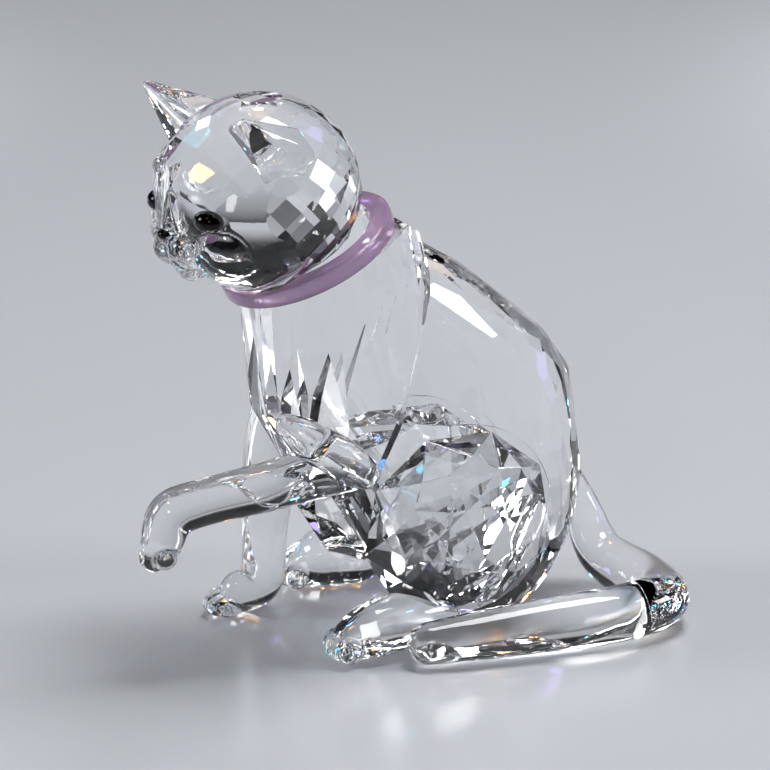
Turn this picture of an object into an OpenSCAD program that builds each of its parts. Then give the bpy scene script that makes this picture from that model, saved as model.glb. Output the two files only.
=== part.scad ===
// Seated cut-crystal cat with its left paw raised, bonded from sixteen glass pieces.
// It faces -Y, its left side is +X, and it stands on z = 0 with its back crystal over the origin.

/* [Body] */
// Half length of the back crystal at its widest row
body_r = 17.4; // [17:0.1:18]
// Half width of the back crystal at its widest row
body_w = 13.6; // [13.4:0.1:14.2]
// Height of the back crystal's widest row above the ground
body_z = 20; // [19:0.5:21]
// Distance from the middle to the flats that the haunches are bonded to
haunch_x = 12.2; // [11.8:0.1:12.6]
// Facets round the back crystal
body_facets = 16; // [14:2:20]
// Half width of the chest crystal
chest_r = 13.6; // [13.4:0.1:14]
// Long flutes round the chest crystal
chest_flutes = 14; // [12:2:18]

/* [Head] */
// Half width of the head
head_r = 14.2; // [14:0.1:14.6]
// Facets round the crown
crown_facets = 18; // [14:2:22]
// How far the head turns towards the cat's left, degrees
head_turn = 8; // [4:1:12]
// Radius of an eye
eye_r = 2.1; // [2:0.1:2.3]

/* [Collar] */
// Outer radius of the collar
collar_r = 13.2; // [13:0.1:13.6]
// Height of the collar along the neck
collar_h = 2.6; // [2.2:0.1:3]
// Radius of the neck spigot, which fills the collar's bore
spigot_r = 10.2; // [9.8:0.1:10.8]
// Forward lean of the neck, degrees
neck_lean = 25; // [23:1:27]

/* [Limbs] */
// Radius of the standing foreleg's shaft
leg_r = 3.4; // [3.2:0.1:3.6]
// How far the left hind paw's toes lie in front of the origin
paw_reach = 26.6; // [26:0.2:28]
// Radius of the tail at its thickest
tail_r = 4.2; // [4:0.1:4.3]

/* [Hidden] */

clear = [0.86, 0.89, 0.92];
big = 200;
ball_facets = 18;

neck_at = [0, -25.9, 57.2];
head_at = [0, -33.1, 66.7];
head_long = 14.6;
head_high = 13.8;
crown_step = 11;
chest_at = [0, -17.9, 34];
chest_long = 16;
chest_high = 58;
chest_low = 16;
chest_lean = 0.2;
flute_step = 34;
body_high = 54;
body_step = 16;
body_low = 24;
nape_fall = 34;
belly_at = [0, -20, 26];
belly_rise = 20;
bond_lean = 17.5;
bond_at = [0, -9.6, 57.7];
spine_z = 28;
spine_bend = 0.026;
haunch_high = 14.4;
haunch_long = 15.2;
haunch_thick = 7.2;
haunch_facets = 9;
haunch_step = 36;

function haunch_at(side) = [side * haunch_x, -7.6, 16.8];

// The next row on a unit sphere that keeps the lozenges over rows p and q flat
function next_row(p, q, n) =
    let (m = [q[0] * cos(180 / n), q[1]], d = m - p)
    p - 2 * (p * d) / (d * d) * d;

// Rows [radius, height] from the widest one at height 0 up to a small table
function cut_rows(rows, n, table) =
    let (k = len(rows), r = next_row(rows[k - 2], rows[k - 1], n))
    r[0] < table || r[1] <= rows[k - 1][1] ? rows : cut_rows(concat(rows, [r]), n, table);

function dome_rows(n, first, table) = cut_rows([[1, 0], [cos(first), sin(first)]], n, table);

// Staggered points of such a dome, with its radii and its height as size
function dome_points(n, first, table, size) =
    let (rows = dome_rows(n, first, table))
    [for (k = [0 : len(rows) - 1], i = [0 : n - 1])
        let (a = (i + k / 2) * 360 / n)
        [size[0] * rows[k][0] * cos(a), size[1] * rows[k][0] * sin(a), size[2] * rows[k][1]]];

// Hull of points alone
module cut_stone(points) {
    hull()
        polyhedron(points, [for (i = [0 : len(points) - 3]) [i, i + 1, i + 2]]);
}

// Everything on the side of a plane that its normal points to
module half_space(at, turn) {
    translate(at)
        rotate(turn)
            translate([-big / 2, -big / 2, 0])
                cube(big);
}

module above_neck(h) {
    half_space(neck_at + h * [0, -sin(neck_lean), cos(neck_lean)], [neck_lean, 0, 0]);
}

module behind_bond() {
    half_space(bond_at, [-90 - bond_lean, 0, 0]);
}

// The slope behind the collar, down which the nape runs on into the back
module behind_nape() {
    half_space([0, -13.6, 61.2], [-nape_fall, 0, 0]);
}

module at_neck() {
    translate(neck_at)
        rotate([neck_lean, 0, 0])
            children();
}

module at_head() {
    translate(head_at)
        rotate(head_turn)
            children();
}

// A smooth curve of stations [x, y, z, radius] through the ones given
function on_curve(p, i, t) =
    let (n = len(p) - 1, a = p[max(i - 1, 0)], b = p[i], c = p[i + 1], d = p[min(i + 2, n)])
    0.5 * (2 * b + (c - a) * t + (2 * a - 5 * b + 4 * c - d) * t * t
        + (3 * b - a - 3 * c + d) * t * t * t);

module rod(stations, steps) {
    fine = [for (i = [0 : len(stations) - 2], j = [0 : steps - 1]) on_curve(stations, i, j / steps),
        stations[len(stations) - 1]];
    for (i = [0 : len(fine) - 2])
        hull() {
            ball(fine[i]);
            ball(fine[i + 1]);
        }
}

module ball(station) {
    translate([station[0], station[1], station[2]])
        sphere(station[3], $fn = ball_facets);
}

function spine_y(z) = z > spine_z ? -spine_bend * (z - spine_z) * (z - spine_z) : 0;

// Back crystal before its flats are ground: the upper rows follow the bent spine
module back_blank() {
    upper = dome_points(body_facets, body_step, 0.3, [body_w, body_r, body_high]);
    lower = dome_points(body_facets, body_step, 0.3, [body_w, body_r, -body_low]);
    cut_stone(concat([for (p = upper) [p[0], p[1] + spine_y(p[2] + body_z), p[2] + body_z]],
        [for (p = lower) [p[0], p[1], p[2] + body_z]]));
}

module back_trimmed() {
    difference() {
        back_blank();
        half_space([0, 0, 0], [180, 0, 0]);
        above_neck(-collar_h / 2);
        behind_nape();
        difference() {
            translate([-big / 2, -big / 2, -big / 2])
                cube(big);
            behind_bond();
        }
        for (side = [-1, 1])
            translate(haunch_at(side))
                rotate([0, side * 90, 0])
                    cylinder(h = big, r = haunch_long, $fn = 64);
    }
}

module back() {
    color(clear)
        back_trimmed();
}

// Chest crystal before its flats are ground: long flutes above its widest row, short facets below
module chest_blank() {
    cut_stone([for (high = [chest_high, -chest_low],
            p = dome_points(chest_flutes, flute_step, 0.3, [chest_r, chest_long, high]))
        chest_at + [p[0], p[1] - chest_lean * p[2], p[2]]]);
}

module chest_trimmed() {
    difference() {
        chest_blank();
        above_neck(-collar_h / 2);
        behind_nape();
        behind_bond();
        half_space(belly_at, [180 + belly_rise, 0, 0]);
    }
}

// Chest crystal, with the spigot that carries the collar and the head
module chest() {
    color(clear) {
        chest_trimmed();
        at_neck()
            translate([0, 0, -collar_h / 2 - 1])
                cylinder(h = collar_h + 1, r = spigot_r, $fn = 64);
    }
}

// Haunch: a low dome whose flat side is bonded to its seat on the back crystal
module haunch() {
    difference() {
        translate(haunch_at(1))
            rotate([0, 90, 0])
                cut_stone(concat(
                    dome_points(haunch_facets, haunch_step, 0.2, [haunch_high, haunch_long, haunch_thick]),
                    dome_points(haunch_facets, haunch_step, 0.2, [haunch_high, haunch_long, -1])));
        half_space(haunch_at(1), [0, -90, 0]);
    }
}

module left_haunch() {
    color(clear)
        haunch();
}

module right_haunch() {
    color(clear)
        mirror([1, 0, 0])
            haunch();
}

module collar() {
    color([0.68, 0.55, 0.75])
        at_neck()
            rotate_extrude($fn = 96)
                polygon([[spigot_r, -collar_h / 2], [collar_r - 0.5, -collar_h / 2],
                    [collar_r, -collar_h / 2 + 0.5], [collar_r, collar_h / 2 - 0.5],
                    [collar_r - 0.5, collar_h / 2], [spigot_r, collar_h / 2]]);
}

module crown_blank() {
    at_head()
        cut_stone([for (side = [-1, 1],
                p = dome_points(crown_facets, crown_step, 0.2, [head_r, head_long, side * head_high]))
            p]);
    at_neck()
        translate([0, 0, collar_h / 2])
            cut_stone([for (k = [0, 1], i = [0 : crown_facets - 1])
                let (a = i * 360 / crown_facets, r = 12.4 + k * 0.8)
                [r * cos(a), r * sin(a) * 0.95, 6 * k]]);
}

module face() {
    at_head()
        hull() {
            ball([0, -14.6, -4.7, 1.9]);
            ball([1.8, -12.8, -6.4, 2.6]);
            ball([-1.8, -12.8, -6.4, 2.6]);
            ball([0, -9.8, -9, 2.8]);
            ball([5.2, -6.4, -4, 4.4]);
            ball([-5.2, -6.4, -4, 4.4]);
            ball([4, -7.4, 1.4, 4.8]);
            ball([-4, -7.4, 1.4, 4.8]);
        }
}

module eye_ball(side) {
    at_head()
        translate([side * 5.9, -12, -0.9])
            sphere(eye_r, $fn = 48);
}

module nose_ball() {
    at_head()
        translate([0, -16.1, -4])
            sphere(0.9, $fn = 32);
}

// Head crystal: cut crown and neck, smooth moulded face, seats for the eyes and the nose
module head() {
    color(clear)
        difference() {
            union() {
                crown_blank();
                face();
            }
            half_space(neck_at + collar_h / 2 * [0, -sin(neck_lean), cos(neck_lean)],
                [180 + neck_lean, 0, 0]);
            eye_ball(1);
            eye_ball(-1);
            nose_ball();
        }
}

module left_eye() {
    color("black")
        eye_ball(1);
}

module right_eye() {
    color("black")
        eye_ball(-1);
}

module nose() {
    color("black")
        nose_ball();
}

// Ear: a domed leaf that runs up to a tip, bonded to the side of the crown
module ear(side) {
    difference() {
        at_head()
            hull() {
                ball([side * 13.4, -10.4, 14, 0.5]);
                ball([side * 5.2, -7, 10.8, 1]);
                ball([side * 13, -4.6, 2.4, 1]);
                ball([side * 9.2, -1.6, 6.8, 4.8]);
            }
        crown_blank();
    }
}

module left_ear() {
    color(clear)
        ear(1);
}

module right_ear() {
    color(clear)
        ear(-1);
}

module standing_foreleg() {
    color(clear)
        difference() {
            union() {
                rod([[-6.6, -26, 33, 4.8], [-7.4, -28.4, 25, 4.2], [-7.8, -29.4, 13, leg_r],
                    [-8.2, -30, 5, leg_r]], 3);
                hull() {
                    ball([-8.4, -30.2, 3.4, 3.4]);
                    ball([-9.2, -35, 2.8, 2.8]);
                }
            }
            chest_blank();
            half_space([0, 0, 0], [180, 0, 0]);
        }
}

module raised_foreleg() {
    color(clear)
        difference() {
            union() {
                rod([[10, -21, 29, 4.2], [11.4, -29, 31.6, 4.6]], 1);
                rod([[11.4, -29, 29.8, 4.6], [11, -37, 26.8, 3.6], [10, -46, 25.4, 3.3],
                    [9.4, -51.2, 24, 3.4], [9.2, -53, 19.8, 3.1]], 3);
            }
            chest_blank();
            back_blank();
        }
}

module hind_paw(side, reach) {
    difference() {
        hull() {
            ball([side * 13.2, -12, 4, 4]);
            ball([side * 15, 4.4 - reach, 4.2, 4.2]);
            ball([side * 15.2, -reach, 3.2, 3.2]);
        }
        back_blank();
        half_space([0, 0, 0.2], [180, 0, 0]);
        mirror([side < 0 ? 1 : 0, 0, 0])
            haunch();
    }
}

module left_hind_paw() {
    color(clear)
        hind_paw(1, paw_reach);
}

module right_hind_paw() {
    color(clear)
        hind_paw(-1, paw_reach - 5);
}

module tail() {
    color(clear)
        difference() {
            rod([[0.6, 16.4, 18, 1.6], [0.8, 18.4, 12.5, 2.6], [5.4, 19.6, 6, 3.6],
                [14.4, 22, tail_r, tail_r], [22.6, 20.4, tail_r, tail_r],
                [24.8, 11.6, tail_r, tail_r], [23.8, 0.6, 4, 4], [22.6, -9.4, 3.6, 3.6],
                [21.4, -16.8, 3.2, 3.2]], 2);
            back_blank();
            half_space([0, 0, 0], [180, 0, 0]);
        }
}

head();
left_ear();
right_ear();
left_eye();
right_eye();
nose();
collar();
chest();
back();
left_haunch();
right_haunch();
raised_foreleg();
standing_foreleg();
left_hind_paw();
right_hind_paw();
tail();
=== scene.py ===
# Seated crystal cat with one paw raised: cut stones, moulded limbs, lavender collar, soft studio
from math import atan2, ceil, cos, pi, radians, sin

import bmesh
import bpy
from mathutils import Matrix, Vector


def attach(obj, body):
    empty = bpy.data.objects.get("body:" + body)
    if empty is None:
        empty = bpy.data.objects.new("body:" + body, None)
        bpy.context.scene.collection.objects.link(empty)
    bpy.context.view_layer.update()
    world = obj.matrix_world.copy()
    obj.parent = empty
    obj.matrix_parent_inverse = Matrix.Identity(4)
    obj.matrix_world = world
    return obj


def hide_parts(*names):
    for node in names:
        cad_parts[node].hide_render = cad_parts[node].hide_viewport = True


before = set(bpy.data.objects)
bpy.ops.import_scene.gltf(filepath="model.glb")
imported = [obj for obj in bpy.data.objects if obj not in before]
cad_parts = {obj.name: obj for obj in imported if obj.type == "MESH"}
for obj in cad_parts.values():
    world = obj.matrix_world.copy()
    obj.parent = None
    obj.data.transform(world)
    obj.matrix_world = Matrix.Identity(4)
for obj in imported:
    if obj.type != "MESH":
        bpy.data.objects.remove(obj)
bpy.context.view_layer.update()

mm = 0.001               # every size below is in millimetres unless its line says otherwise
clearance = 0.03         # air left round a stone where a moulded piece is fitted to it
sameFlat = 0.9995        # cosine between two faces that count as one flat
hair = 1e-7              # metres, nearer than which two places count as one
origin = Vector((0, 0, 0))
scene = bpy.context.scene


def placeCamera():
    # distance and across, the width seen at the object, are in metres
    view = {"azimuth": 65, "elevation": 18, "distance": 0.55, "across": 0.1117,
            "lookAt": Vector((0, -0.0136, 0.0352)), "sensor": 36}
    a, e = radians(view["azimuth"]), radians(view["elevation"])
    back = Vector((sin(a) * cos(e), -cos(a) * cos(e), sin(e)))
    data = bpy.data.cameras.new("studioCamera")
    data.sensor_width = view["sensor"]
    data.lens = view["distance"] * view["sensor"] / view["across"]
    data.clip_start, data.clip_end = 0.01, 20
    camera = bpy.data.objects.new("studioCamera", data)
    camera.location = view["lookAt"] + view["distance"] * back
    camera.rotation_mode = "QUATERNION"
    camera.rotation_quaternion = (-back).to_track_quat("-Z", "Y")
    scene.collection.objects.link(camera)
    scene.camera = camera
    print("camera placed")


class Nodes:
    # adds a node, sets its values and links its inputs
    def __init__(self, tree):
        self.tree = tree
        tree.nodes.clear()

    def add(self, kind, values=None, links=None, **settings):
        node = self.tree.nodes.new(kind)
        for key, value in settings.items():
            setattr(node, key, value)
        for key, value in (values or {}).items():
            self.socket(node, key).default_value = value
        for key, socket in (links or {}).items():
            self.tree.links.new(socket, self.socket(node, key))
        return node

    def socket(self, node, key):
        # a Mix node repeats its socket names for each kind of data
        if isinstance(key, int):
            return node.inputs[key]
        return next(i for i in node.inputs if i.name == key and i.enabled)


def newMaterial(name):
    material = bpy.data.materials.new(name)
    material.use_nodes = True
    return material, Nodes(material.node_tree)


def smudgedGlass(name, look):
    material, n = newMaterial(name)
    place = n.add("ShaderNodeTexCoord").outputs["Object"]
    smudge = n.add("ShaderNodeTexNoise", {"Scale": look["smudgeScale"], "Detail": look["smudgeDetail"]},
                   {"Vector": place})
    rough = n.add("ShaderNodeMapRange", {"From Min": look["smudgeFrom"], "From Max": look["smudgeTo"],
                                         "To Min": look["roughLow"], "To Max": look["roughHigh"]},
                  {"Value": smudge.outputs["Fac"]})
    ripple = n.add("ShaderNodeTexNoise", {"Scale": look["rippleScale"], "Detail": look["rippleDetail"]},
                   {"Vector": place})
    bump = n.add("ShaderNodeBump", {"Strength": look["rippleStrength"], "Distance": look["rippleDepth"]},
                 {"Height": ripple.outputs["Fac"]})
    shade = n.add("ShaderNodeBsdfPrincipled",
                  {"Base Color": look["tint"], "IOR": look["ior"], "Transmission Weight": look["clear"]},
                  {"Roughness": rough.outputs["Result"], "Normal": bump.outputs["Normal"]})
    n.add("ShaderNodeOutputMaterial", links={"Surface": shade.outputs["BSDF"]})
    return material


def bondGlass():
    # the film between two ground flats: light goes straight on
    material, n = newMaterial("bondFilm")
    shade = n.add("ShaderNodeBsdfTransparent", {"Color": (1, 1, 1, 1)})
    n.add("ShaderNodeOutputMaterial", links={"Surface": shade.outputs["BSDF"]})
    return material


# noise scales are per metre, and the ripple's depth is in metres
crystalLook = {"tint": (0.985, 0.99, 0.995, 1), "ior": 1.56, "clear": 1.0,
               "smudgeScale": 180, "smudgeDetail": 4, "smudgeFrom": 0.45, "smudgeTo": 0.8,
               "roughLow": 0.0, "roughHigh": 0.02,
               "rippleScale": 300, "rippleDetail": 2, "rippleStrength": 0.02, "rippleDepth": 0.00002}
mouldedLook = dict(crystalLook, rippleScale=220, rippleStrength=0.25, rippleDepth=0.00006, ior=1.52)
collarLook = dict(crystalLook, tint=(0.66, 0.47, 0.69, 1), clear=0.6, roughLow=0.03, roughHigh=0.10)
blackLook = dict(crystalLook, tint=(0.002, 0.002, 0.003, 1), clear=0.0, ior=1.3, roughLow=0.02,
                 roughHigh=0.08)

crystal = smudgedGlass("cutCrystal", crystalLook)
moulded = smudgedGlass("mouldedCrystal", mouldedLook)
lavender = smudgedGlass("lavenderGlass", collarLook)
black = smudgedGlass("blackGlass", blackLook)
bondFilm = bondGlass()
print("materials ready")


def nodeMesh(name):
    # a merged copy of the CAD node, its facets joined up again
    weld = 0.004
    bm = bmesh.new()
    bm.from_mesh(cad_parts[name].data)
    bmesh.ops.remove_doubles(bm, verts=bm.verts[:], dist=weld * mm)
    joinFlats(bm)
    return bm


def joinFlats(bm, angle=0.6):
    bmesh.ops.dissolve_limit(bm, angle_limit=radians(angle), verts=bm.verts[:], edges=bm.edges[:])


def addBall(bm, at, radii, turn=None, fine=3):
    if not hasattr(radii, "__len__"):
        radii = (radii, radii, radii)
    place = Matrix.Translation(Vector(at) * mm)
    if turn:
        place = place @ turn
    place = place @ Matrix.Diagonal((radii[0] * mm, radii[1] * mm, radii[2] * mm, 1))
    bmesh.ops.create_icosphere(bm, subdivisions=fine, radius=1, matrix=place)


def alongCurve(stations, gap):
    # Catmull-Rom through stations (x, y, z, radius), closer together than gap
    out = []
    for i in range(len(stations) - 1):
        a, b = stations[max(i - 1, 0)], stations[i]
        c, d = stations[i + 1], stations[min(i + 2, len(stations) - 1)]
        steps = max(1, ceil((Vector(c[:3]) - Vector(b[:3])).length / gap))
        for j in range(steps):
            t = j / steps
            out.append([0.5 * (2 * q + (r - p) * t + (2 * p - 5 * q + 4 * r - s) * t * t
                               + (3 * q - p - 3 * r + s) * t ** 3) for p, q, r, s in zip(a, b, c, d)])
    out.append(list(stations[-1]))
    return out


def addRod(bm, stations, gap=0.6, fine=3):
    for x, y, z, radius in alongCurve(stations, gap):
        addBall(bm, (x, y, z), radius, fine=fine)


def fuse(bm, voxel, passes):
    # melts overlapping forms into one smooth skin
    mesh = bpy.data.meshes.new("melting")
    bm.to_mesh(mesh)
    bm.free()
    obj = bpy.data.objects.new("melting", mesh)
    scene.collection.objects.link(obj)
    remesh = obj.modifiers.new("remesh", "REMESH")
    remesh.mode = "VOXEL"
    remesh.voxel_size = voxel * mm
    melted = evaluated(obj)
    for _ in range(passes):
        bmesh.ops.smooth_vert(melted, verts=melted.verts[:], factor=0.5, use_axis_x=True,
                              use_axis_y=True, use_axis_z=True)
    return melted


def evaluated(obj):
    graph = bpy.context.evaluated_depsgraph_get()
    graph.update()
    bm = bmesh.new()
    bm.from_object(obj, graph)
    bpy.data.meshes.remove(obj.data, do_unlink=True)
    return bm


def carve(bm, cutters):
    # takes the swollen stones away from a moulded form
    mesh = bpy.data.meshes.new("carving")
    bm.to_mesh(mesh)
    bm.free()
    obj = bpy.data.objects.new("carving", mesh)
    scene.collection.objects.link(obj)
    others = []
    for cutter in cutters:
        tool = bpy.data.meshes.new("tool")
        cutter.to_mesh(tool)
        other = bpy.data.objects.new("tool", tool)
        scene.collection.objects.link(other)
        others.append(tool)
        cut = obj.modifiers.new("carve", "BOOLEAN")
        cut.operation = "DIFFERENCE"
        cut.solver = "EXACT"
        cut.object = other
    carved = evaluated(obj)
    for tool in others:
        bpy.data.meshes.remove(tool, do_unlink=True)
    return carved


def swollen(bm, gap=clearance):
    # a copy of a stone with its facets gap further out, about right for its nearer sides too
    nearSide = 0.6
    copy = bm.copy()
    middle = sum((v.co for v in copy.verts), Vector()) / len(copy.verts)
    size = max((v.co - middle).length for v in copy.verts)
    for v in copy.verts:
        v.co = middle + (v.co - middle) * (1 + gap * mm / (nearSide * size))
    return copy


def around(faces):
    # faces with their edges and corners, always in the same order
    edges = dict.fromkeys(e for f in faces for e in f.edges)
    verts = dict.fromkeys(v for f in faces for v in f.verts)
    return list(faces) + list(edges) + list(verts)


def cutFlat(bm, at, normal, near=0.5):
    # grinds one flat and closes it; only what lies near the plane or beyond it is looked at
    touched = [v for v in bm.verts if (v.co - at).dot(normal) > -near * mm]
    geom = around(dict.fromkeys(f for v in touched for f in v.link_faces))
    cut = bmesh.ops.bisect_plane(bm, geom=geom, dist=hair, plane_co=at, plane_no=normal, clear_outer=True)
    rim = [e for e in cut["geom_cut"] if isinstance(e, bmesh.types.BMEdge) and e.is_boundary]
    return bmesh.ops.holes_fill(bm, edges=rim)["faces"] if rim else []


def flatFaces(bm, at, normal, reach=0.02):
    bm.normal_update()
    return [f for f in bm.faces if abs(f.normal.dot(normal)) > sameFlat
            and abs((f.calc_center_median() - at).dot(normal)) < reach * mm]


def imprint(bm, outline, normal, at):
    # marks the part of a flat that lies inside a convex outline as bonded
    faces = flatFaces(bm, at, normal)
    middle = sum(outline, Vector()) / len(outline)
    sides = []
    for a, b in zip(outline, outline[1:] + outline[:1]):
        side = (b - a).cross(normal)
        if side.length < hair:
            continue
        side.normalize()
        if side.dot(middle - a) > 0:
            side = -side
        sides.append((a, side))
    for a, side in sides:
        bmesh.ops.bisect_plane(bm, geom=around(faces), dist=hair, plane_co=a, plane_no=side)
        faces = flatFaces(bm, at, normal)
    for f in faces:
        centre = f.calc_center_median()
        if all((centre - a).dot(side) < hair for a, side in sides):
            f.material_index = 1


def outlineOf(bm, at, normal, reach=0.02):
    # the convex outline of all of a stone's corners that lie in a plane
    def inPlane(v):
        return abs((v.co - at).dot(normal)) < reach * mm

    points = [v.co.copy() for v in bm.verts if inPlane(v)]
    across = normal.orthogonal().normalized()
    up = normal.cross(across)
    middle = sum(points, Vector()) / len(points)
    flat = bmesh.new()
    for p in points:
        flat.verts.new(p)
        flat.verts.new(p + normal * mm)
    bmesh.ops.convex_hull(flat, input=flat.verts[:])
    ring = [v.co.copy() for v in flat.verts if v.link_faces and inPlane(v)]
    flat.free()
    ring.sort(key=lambda p: atan2((p - middle).dot(up), (p - middle).dot(across)))
    return ring


def finishPiece(name, bm, materials, node, smooth=False, crease=38):
    bmesh.ops.recalc_face_normals(bm, faces=bm.faces[:])
    for e in bm.edges:
        e.smooth = len(e.link_faces) == 2 and e.calc_face_angle() < radians(crease)
    for f in bm.faces:
        f.smooth = smooth
    mesh = bpy.data.meshes.new(name)
    bm.to_mesh(mesh)
    bm.free()
    for m in materials:
        mesh.materials.append(m)
    piece = bpy.data.objects.new(name, mesh)
    scene.collection.objects.link(piece)
    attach(piece, "root")
    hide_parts(node)
    print(name, "ready,", len(mesh.polygons), "faces")


# the neck plane, the bond plane between chest and back, and the haunch seats
neck = {"at": Vector((0, -25.9, 57.2)) * mm, "lean": 25, "high": 2.6, "outer": 13.2, "spigot": 10.2}
neckTurn = Matrix.Rotation(radians(neck["lean"]), 4, "X")
neckUp = Vector((0, -sin(radians(neck["lean"])), cos(radians(neck["lean"]))))
neckTop = neck["at"] + neckUp * neck["high"] / 2 * mm
bond = {"at": Vector((0, -9.6, 57.7)) * mm, "lean": 17.5}
bondTurn = Matrix.Rotation(radians(-90 - bond["lean"]), 3, "X")
bondWay = (bondTurn @ Vector((0, 0, 1))).normalized()
seat = {"x": 12.2, "air": 0.02}
sideways = Vector((1, 0, 0))


def clipCorners(bm, flats):
    # a small facet across each outward corner of the cut rows, away from the ground flats
    look = {"depth": 0.28, "fromFlats": 0.6, "mostTaken": 3, "near": 8}
    bm.normal_update()
    corners = [(v.co - v.normal * look["depth"] * mm, v.normal.copy()) for v in bm.verts
               if all(abs((v.co - at).dot(way)) > look["fromFlats"] * mm for at, way in flats)]
    clipped = 0
    for at, way in corners:
        # a plane that would take more than its own corner is left out
        if sum((v.co - at).dot(way) > 0 for v in bm.verts) <= look["mostTaken"]:
            cutFlat(bm, at, way, look["near"])
            clipped += 1
    print("corners clipped:", clipped, "of", len(corners))


def breakEdges(bm):
    # facet edges are broken by a hair, but not the outline of a bond
    look = {"from": 3, "wide": 0.07}
    sharp = [e for e in bm.edges if len(e.link_faces) == 2 and e.calc_face_angle() > radians(look["from"])
             and all(f.material_index == 0 for f in e.link_faces)]
    bmesh.ops.bevel(bm, geom=sharp, offset=look["wide"] * mm, offset_type="OFFSET", affect="EDGES",
                    segments=1, profile=0.5, material=-1, clamp_overlap=True)


def makeStones():
    chest, back = nodeMesh("chest"), nodeMesh("back")
    haunches = [nodeMesh("left_haunch"), nodeMesh("right_haunch")]
    clipCorners(back, [(bond["at"], bondWay), (origin, Vector((0, 0, 1))),
                       (sideways * seat["x"] * mm, sideways), (-sideways * seat["x"] * mm, sideways)])
    chestOutline = outlineOf(chest, bond["at"], bondWay)
    backOutline = outlineOf(back, bond["at"], bondWay)
    imprint(chest, backOutline, bondWay, bond["at"])
    imprint(back, chestOutline, bondWay, bond["at"])
    for f in flatFaces(chest, neckTop, neckUp):
        f.material_index = 1
    # a hair of air behind each haunch lets its flat reflect
    for bm, sign in zip(haunches, (1, -1)):
        bmesh.ops.translate(bm, verts=bm.verts[:], vec=sideways * sign * seat["air"] * mm)
    stones = {"chest": chest, "back": back, "left_haunch": haunches[0], "right_haunch": haunches[1]}
    tools = {name: swollen(bm) for name, bm in stones.items()}
    for name, bm in stones.items():
        breakEdges(bm)
        finishPiece(name + "Stone", bm, [crystal, bondFilm], name)
    return tools


tools = makeStones()


def domePoints(n, first, table, size):
    # staggered rows on an ellipsoid that keep every lozenge flat
    squeeze = cos(pi / n)
    rows = [Vector((1, 0)), Vector((cos(radians(first)), sin(radians(first))))]
    while True:
        p, q = rows[-2:]
        d = Vector((q.x * squeeze, q.y)) - p
        r = p - 2 * p.dot(d) / d.dot(d) * d
        if r.x < table or r.y <= q.y:
            break
        rows.append(r)
    return [Vector((size[0] * row.x * cos((i + k / 2) * 2 * pi / n),
                    size[1] * row.x * sin((i + k / 2) * 2 * pi / n), size[2] * row.y))
            for k, row in enumerate(rows) for i in range(n)]


def crownPoints(look):
    # the same dome above and below the head's middle
    return [p for side in (1, -1)
            for p in domePoints(look["facets"], look["first"], look["table"],
                                (look["size"][0], look["size"][1], side * look["size"][2]))]


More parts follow.
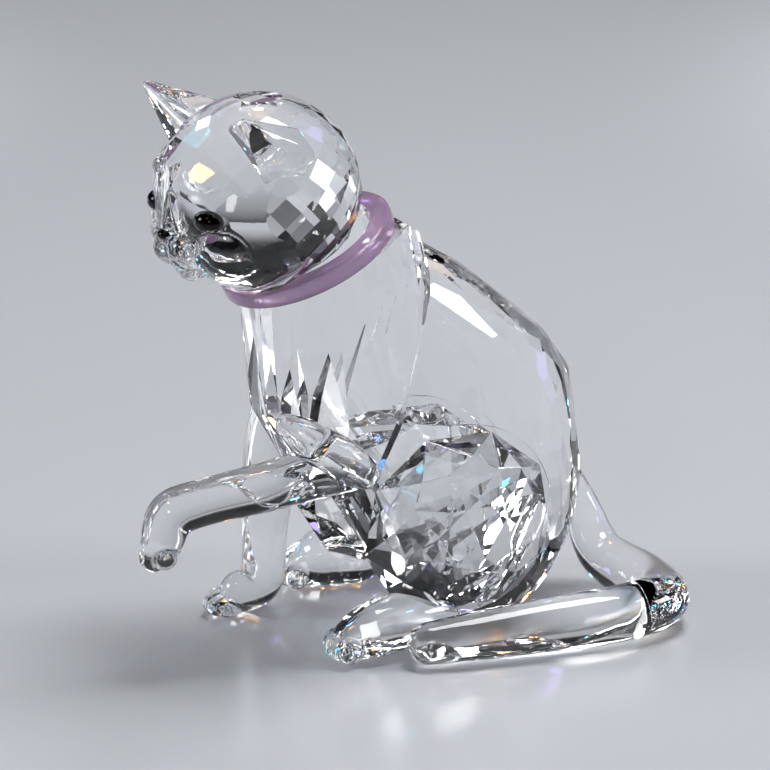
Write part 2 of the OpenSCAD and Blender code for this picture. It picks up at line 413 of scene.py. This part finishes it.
def makeHead():
    # balls and rods are in the head's own frame: left, forward, up, radius
    look = {"at": Vector((0, -33.1, 66.7)), "turn": 8, "size": (14.2, 14.6, 13.8), "facets": 18,
            "first": 11, "table": 0.2, "voxel": 0.24, "passes": 8, "swell": 1.03, "weld": 0.01,
            "faceBall": [(0, 14.7, -4.6, 1.4), (2.0, 13.0, -6.5, 2.8), (-2.0, 13.0, -6.5, 2.8),
                         (0, 11.0, -9.0, 2.6), (6.0, 8.4, -5.0, 5.2), (-6.0, 8.4, -5.0, 5.2),
                         (4.2, 7.4, -7.0, 4.4), (-4.2, 7.4, -7.0, 4.4), (0, 5.0, -7.6, 5.4),
                         (4.3, 9.0, 5.2, 5.2), (-4.3, 9.0, 5.2, 5.2)],
            "bridge": [(0, 11.6, 5.0, 3.0), (0, 12.8, 1.2, 2.3), (0, 14.2, -3.4, 1.6)],
            "brow": [(2.6, 13.0, 1.4, 1.1), (5.6, 12.4, 2.4, 1.3), (8.8, 9.8, 1.6, 1.1)],
            "eye": (6.8, 12.1, -1.2), "eyeAway": (0.42, 0.90, 0.02),
            "rim": 0.45, "rimWide": 2.6, "rimHigh": 1.8, "rimOut": 0.2, "rimBeads": 28,
            "throatLow": 12.4, "throatHigh": 13.2, "throatTall": 8, "throatUp": 2, "throatSides": 96,
            "spigotSides": 64}
    # flats are cut on the crown and nape only, further forward the higher they lie
    cutBack = {"forward": 2.5, "perUp": 0.55, "topFrom": 6.5, "topMore": 2.5}
    turn = Matrix.Rotation(radians(look["turn"]), 4, "Z")
    place = Matrix.Translation(look["at"] * mm) @ turn

    def put(p):
        # head frame: left, forward, up
        return (place @ (Vector((p[0], -p[1], p[2])) * mm)) / mm

    bm = bmesh.new()
    addBall(bm, put((0, 0, 0)), [r * look["swell"] for r in look["size"]], turn, 5)
    for ball in look["faceBall"]:
        addBall(bm, put(ball), ball[3])
    addRod(bm, [(*put(p), p[3]) for p in look["bridge"]])
    for side in (1, -1):
        addRod(bm, [(*put((side * p[0], p[1], p[2])), p[3]) for p in look["brow"]])
        # a raised rim round each eye
        eye = Vector((side * look["eye"][0], look["eye"][1], look["eye"][2]))
        away = Vector((side * look["eyeAway"][0], *look["eyeAway"][1:])).normalized()
        across = Vector((0, 0, 1)).cross(away).normalized()
        up = away.cross(across)
        for i in range(look["rimBeads"]):
            a = i * 2 * pi / look["rimBeads"]
            wide, high = look["rimWide"] * cos(a), look["rimHigh"] * sin(a)
            at = eye + away * look["rimOut"] + across * wide + up * high
            addBall(bm, put(at), look["rim"], None, 2)
    throatAt = neckTop + neckUp * look["throatUp"] * mm
    bmesh.ops.create_cone(bm, cap_ends=True, segments=look["throatSides"], radius1=look["throatLow"] * mm,
                          radius2=look["throatHigh"] * mm, depth=look["throatTall"] * mm,
                          matrix=Matrix.Translation(throatAt) @ neckTurn)
    bm = fuse(bm, look["voxel"], look["passes"])

    # the crown and the nape take the flats of the cut dome
    dome = bmesh.new()
    for p in crownPoints(look):
        dome.verts.new(p * mm)
    bmesh.ops.remove_doubles(dome, verts=dome.verts[:], dist=look["weld"] * mm)
    bmesh.ops.convex_hull(dome, input=dome.verts[:])
    joinFlats(dome)
    dome.normal_update()
    flats = []
    for f in dome.faces:
        centre = f.calc_center_median() / mm
        forward, up = -centre.y, centre.z
        reach = cutBack["forward"] + cutBack["perUp"] * up
        if up > cutBack["topFrom"]:
            reach += cutBack["topMore"]
        if forward < reach:
            outward = f.normal if f.normal.dot(centre) > 0 else -f.normal
            flats.append((place @ (centre * mm), turn.to_3x3() @ outward))
    dome.free()
    for at, outward in flats:
        for f in cutFlat(bm, at, outward):
            f.material_index = 2
    cutFlat(bm, neckTop, -neckUp)
    step = 2 * pi / look["spigotSides"]
    ring = [neckTop + neckTurn.to_3x3() @ Vector((cos(i * step), sin(i * step), 0)) * neck["spigot"] * mm
            for i in range(look["spigotSides"])]
    imprint(bm, ring, neckUp, neckTop)
    print("head cut with", len(flats), "flats")
    finishPiece("headStone", bm, [moulded, bondFilm, crystal], "head", True, 6)
    return look, put


headLook, put = makeHead()


def makeEyes():
    look = {"radii": (2.3, 1.9, 1.6), "splay": 25, "nose": (0, 15.5, -4.1), "noseRadii": (1.2, 0.9, 0.75)}
    for side, node in ((1, "left_eye"), (-1, "right_eye")):
        bm = bmesh.new()
        eye = headLook["eye"]
        splay = Matrix.Rotation(radians(headLook["turn"] + side * look["splay"]), 4, "Z")
        addBall(bm, put((side * eye[0], eye[1], eye[2])), look["radii"], splay, 4)
        finishPiece(node.replace("_e", "E") + "Bead", bm, [black], node, True)
    bm = bmesh.new()
    addBall(bm, put(look["nose"]), look["noseRadii"], None, 4)
    finishPiece("noseBead", bm, [black], "nose", True)


makeEyes()


def makeEars(crown):
    look = {"voxel": 0.2, "passes": 4, "rodGap": 0.5, "tipSpare": 0.6,
            "tip": (13.4, 10.3, 13.9, 0.6), "inner": (5.2, 7, 10.8, 0.9), "outer": (13, 4.6, 2.4, 0.9),
            "rear": (9.2, 1.6, 6.8, 4.7), "flats": [(18, 3), (46, 6), (72, 8)], "flatAt": 4.05}
    for side, node in ((1, "left_ear"), (-1, "right_ear")):
        bm = bmesh.new()
        corner = {}
        for key in ("tip", "inner", "outer", "rear"):
            p = look[key]
            corner[key] = (*put((side * p[0], p[1], p[2])), p[3])
        # the plate is the hull of small balls, with a round rim along both front edges
        for key in corner:
            addBall(bm, corner[key][:3], corner[key][3], None, 2)
        bmesh.ops.convex_hull(bm, input=bm.verts[:])
        loose = [v for v in bm.verts if not v.link_faces]
        bmesh.ops.delete(bm, geom=loose, context="VERTS")
        for end in ("inner", "outer"):
            addRod(bm, [corner["tip"], corner[end]], look["rodGap"], 2)
        bm = fuse(bm, look["voxel"], look["passes"])
        # the rear dome is cut with a few flats, none of which may reach the tip
        middle = Vector(put((side * look["rear"][0], look["rear"][1], look["rear"][2])))
        for tilt, turns in look["flats"]:
            for i in range(turns):
                a = (i + tilt / 90) * 2 * pi / turns
                rise = sin(radians(tilt))
                way = Vector((side * cos(radians(tilt)), rise * cos(a), rise * sin(a)))
                at = middle + way * look["flatAt"]
                if (Vector(corner["tip"][:3]) - at).dot(way) < -look["tipSpare"]:
                    cutFlat(bm, at * mm, way)
        bm = carve(bm, [crown])
        finishPiece(node.replace("_e", "E") + "Glass", bm, [moulded], node, True)


crown = bmesh.new()
for p in crownPoints(headLook):
    crown.verts.new(put((p.x, -p.y, p.z)) * mm)
bmesh.ops.convex_hull(crown, input=crown.verts[:])
makeEars(swollen(crown))


def makeLimb(node, name, look, cutters):
    bm = bmesh.new()
    for rod in look["rods"]:
        addRod(bm, rod)
    for ball in look.get("balls", []):
        addBall(bm, ball[:3], ball[3:])
    bm = fuse(bm, look["voxel"], look["passes"])
    if look.get("ground"):
        cutFlat(bm, Vector((0, 0, look["ground"] * mm)), Vector((0, 0, -1)))
    bmesh.ops.triangulate(bm, faces=bm.faces[:])
    bm = carve(bm, [tools[c] for c in cutters])
    finishPiece(name, bm, [moulded], node, True)


# rods run through (x, y, z, radius); the balls are toes, each with a radius for every axis
standingLook = {"voxel": 0.28, "passes": 4, "ground": 0.03,
                "rods": [[(-6.6, -26, 33, 4.8), (-7.4, -28.4, 25, 4.2), (-7.8, -29.4, 13, 3.4),
                          (-8.2, -30, 5, 3.3), (-8.8, -33, 3.2, 3.2)]],
                "balls": [(-11.0, -35.6, 1.9, 1.5, 2.1, 1.7), (-9.6, -36.6, 1.9, 1.3, 2.2, 1.8),
                          (-8.3, -36.6, 1.9, 1.3, 2.2, 1.8), (-7.0, -35.6, 1.8, 1.4, 2.1, 1.6)]}
makeLimb("standing_foreleg", "standingForelegGlass", standingLook, ["chest"])

raisedLook = {"voxel": 0.28, "passes": 4,
              "rods": [[(10.6, -33.8, 35.2, 1.7), (12.4, -31, 33.2, 2.7), (14, -27, 30.2, 3.1),
                        (14.4, -23.4, 27.6, 2.3)],
                       [(11.4, -25, 27.6, 3.4), (12, -30, 27.9, 3.8), (11, -37, 26.6, 3.6),
                        (10, -46, 25.4, 3.4), (9.4, -50.8, 24, 3.5), (9.2, -52.4, 20.2, 3.1)]],
              "balls": [(7.0, -52.8, 18.5, 1.3, 1.8, 1.8), (8.5, -53.8, 18.0, 1.3, 1.9, 1.9),
                        (10.0, -53.8, 18.0, 1.3, 1.9, 1.9), (11.5, -52.8, 18.5, 1.3, 1.8, 1.8)]}
makeLimb("raised_foreleg", "raisedForelegGlass", raisedLook, ["chest", "back"])

for sign, side, reach in ((1, "left", 26.6), (-1, "right", 21.6)):
    hindLook = {"voxel": 0.26, "passes": 4, "ground": 0.25,
                "rods": [[(sign * 13.2, -12, 4, 4), (sign * 14.2, -17, 4.3, 4.3),
                          (sign * 15, 4.4 - reach, 4.1, 4.1), (sign * 15.2, 0.8 - reach, 3.2, 3.1)]],
                "balls": [(sign * (15.2 + k), 0.3 * abs(k) - reach - 1.3, 2.4, 1.3, 2.2, 2.0)
                          for k in (-2.4, -0.8, 0.8, 2.4)]}
    makeLimb(side + "_hind_paw", side + "HindPawGlass", hindLook, ["back", side + "_haunch"])

tailLook = {"voxel": 0.3, "passes": 5, "ground": 0.03,
            "rods": [[(0.6, 16.4, 18, 1.6), (0.8, 18.4, 12.5, 2.6), (5.4, 19.6, 6, 3.6),
                      (14.4, 21.8, 4.2, 4.2), (22.5, 20.2, 4.2, 4.2), (24.8, 11.6, 4.2, 4.2),
                      (23.8, 0.6, 4, 4), (22.6, -9.4, 3.6, 3.6), (21.4, -16.8, 3.2, 3.1)]]}
makeLimb("tail", "tailGlass", tailLook, ["back"])


def makeCollar():
    look = {"boreAir": 0.02, "round": 0.45, "steps": 128, "rimAngle": 60, "weld": 0.002}
    bm = bmesh.new()
    half = neck["high"] / 2 - clearance
    bore, outer = neck["spigot"] + look["boreAir"], neck["outer"]
    corner = [(bore, -half), (outer, -half), (outer, half), (bore, half)]
    verts = [bm.verts.new((r * mm, 0, z * mm)) for r, z in corner]
    edges = [bm.edges.new((a, b)) for a, b in zip(verts, verts[1:] + verts[:1])]
    bmesh.ops.spin(bm, geom=verts + edges, cent=origin, axis=(0, 0, 1), angle=2 * pi,
                   steps=look["steps"], use_merge=True)
    bmesh.ops.remove_doubles(bm, verts=bm.verts[:], dist=look["weld"] * mm)
    rims = [e for e in bm.edges if len(e.link_faces) == 2 and e.calc_face_angle() > radians(look["rimAngle"])
            and e.verts[0].co.xy.length > (bore + outer) / 2 * mm]
    bmesh.ops.bevel(bm, geom=rims, offset=look["round"] * mm, offset_type="OFFSET", affect="EDGES",
                    segments=4, profile=0.5, material=-1)
    bm.transform(Matrix.Translation(neck["at"]) @ neckTurn)
    finishPiece("collarBand", bm, [lavender], "collar", True, 40)


makeCollar()


def makeWorld():
    # a pale sweep behind the object, low down; the room above it and towards the camera is dark
    look = {"sweep": (0.50, 0.515, 0.55, 1), "room": (0.004, 0.004, 0.005, 1), "away": (-0.906, 0.423, 0.0),
            "sweepTop": 0.0, "roomFrom": 0.10, "sideFrom": -0.25, "sideTo": 0.05}
    world = bpy.data.worlds.new("studioAir")
    scene.world = world
    world.use_nodes = True
    n = Nodes(world.node_tree)
    way = n.add("ShaderNodeTexCoord").outputs["Generated"]
    split = n.add("ShaderNodeSeparateXYZ", links={"Vector": way})
    facing = n.add("ShaderNodeVectorMath", {1: look["away"]}, {0: way}, operation="DOT_PRODUCT")
    behind = n.add("ShaderNodeMapRange", {"From Min": look["sideFrom"], "From Max": look["sideTo"]},
                   {"Value": facing.outputs["Value"]})
    low = n.add("ShaderNodeMapRange", {"From Min": look["roomFrom"], "From Max": look["sweepTop"]},
                {"Value": split.outputs["Z"]})
    both = n.add("ShaderNodeMath", links={0: behind.outputs["Result"], 1: low.outputs["Result"]},
                 operation="MULTIPLY")
    seen = n.add("ShaderNodeMix", {"A": look["room"], "B": look["sweep"]},
                 {"Factor": both.outputs["Value"]}, data_type="RGBA")
    back = n.add("ShaderNodeBackground", {"Strength": 1.0}, {"Color": seen.outputs[2]})
    n.add("ShaderNodeOutputWorld", links={"Surface": back.outputs["Background"]})


def addLamp(name, at, aim, size, power, colour=(1, 1, 1)):
    data = bpy.data.lights.new(name, "AREA")
    data.shape = "SQUARE"
    data.size, data.energy, data.color = size, power, colour
    lamp = bpy.data.objects.new(name, data)
    lamp.location = at
    lamp.rotation_mode = "QUATERNION"
    lamp.rotation_quaternion = (Vector(aim) - Vector(at)).to_track_quat("-Z", "Y")
    scene.collection.objects.link(lamp)
    return lamp


def makeStudio():
    # sizes and places here are in metres; the air under the ground flats lets them reflect
    floor = {"size": 3.0, "airGap": 0.06 * mm, "colour": (0.60, 0.622, 0.662, 1), "rough": 0.25}
    aim = (0, 0, 0.03)
    poolSpread = 95
    cards = {"size": 0.05, "amber": (1.0, 0.50, 0.12), "teal": (0.10, 0.75, 1.0),
             "violet": (0.45, 0.35, 1.0), "blue": (0.15, 0.40, 1.0), "orange": (1.0, 0.42, 0.10)}
    bm = bmesh.new()
    bmesh.ops.create_grid(bm, x_segments=1, y_segments=1, size=floor["size"] / 2)
    mesh = bpy.data.meshes.new("floor")
    bm.to_mesh(mesh)
    bm.free()
    obj = bpy.data.objects.new("floor", mesh)
    mesh.transform(Matrix.Translation((0, 0, -floor["airGap"])))
    scene.collection.objects.link(obj)
    material, n = newMaterial("paleFloor")
    shade = n.add("ShaderNodeBsdfPrincipled", {"Base Color": floor["colour"], "Roughness": floor["rough"]})
    n.add("ShaderNodeOutputMaterial", links={"Surface": shade.outputs["BSDF"]})
    mesh.materials.append(material)

    makeWorld()
    # name, place, what it points at, size, power
    lamps = [("topBox", (-0.05, 0.2, 0.85), aim, 0.36, 5.6),
             ("leftBox", (-0.35, -0.75, 0.42), aim, 0.26, 2.8),
             ("rightBox", (0.35, 0.62, 0.32), aim, 0.2, 1.8),
             ("farBox", (-0.55, 0.42, 0.66), aim, 0.24, 1.0),
             ("frontStrip", (0.75, -0.75, 0.6), aim, 0.12, 0.8),
             ("leftPool", (-0.40, -0.16, 0.20), (-0.41, -0.165, 0), 0.10, 1.0),
             ("rightPool", (-0.15, 0.38, 0.20), (-0.155, 0.39, 0), 0.10, 1.0)]
    for name, at, target, size, power in lamps:
        lamp = addLamp(name, at, target, size, power)
        # these would lie on the floor as hot patches
        lamp.visible_glossy = name not in ("farBox", "leftPool", "rightPool")
        if "Pool" in name:
            lamp.data.spread = radians(poolSpread)
    # small coloured cards, seen only in the glass, stand in for the fire of the cut facets
    fire = [("amber", (-0.30, 0.10, 0.55), 0.35), ("teal", (-0.20, 0.45, 0.40), 0.30),
            ("violet", (-0.45, -0.15, 0.35), 0.25), ("blue", (0.30, 0.40, 0.50), 0.25),
            ("orange", (0.10, -0.40, 0.60), 0.30)]
    for name, at, power in fire:
        lamp = addLamp(name + "Card", at, aim, cards["size"], power, cards[name])
        lamp.visible_diffuse = False
    scene.cycles.max_bounces = 40
    scene.cycles.transmission_bounces = 40
    scene.cycles.glossy_bounces = 12
    scene.cycles.transparent_max_bounces = 40
    scene.view_settings.view_transform = "Standard"
    print("studio ready")


placeCamera()
makeStudio()
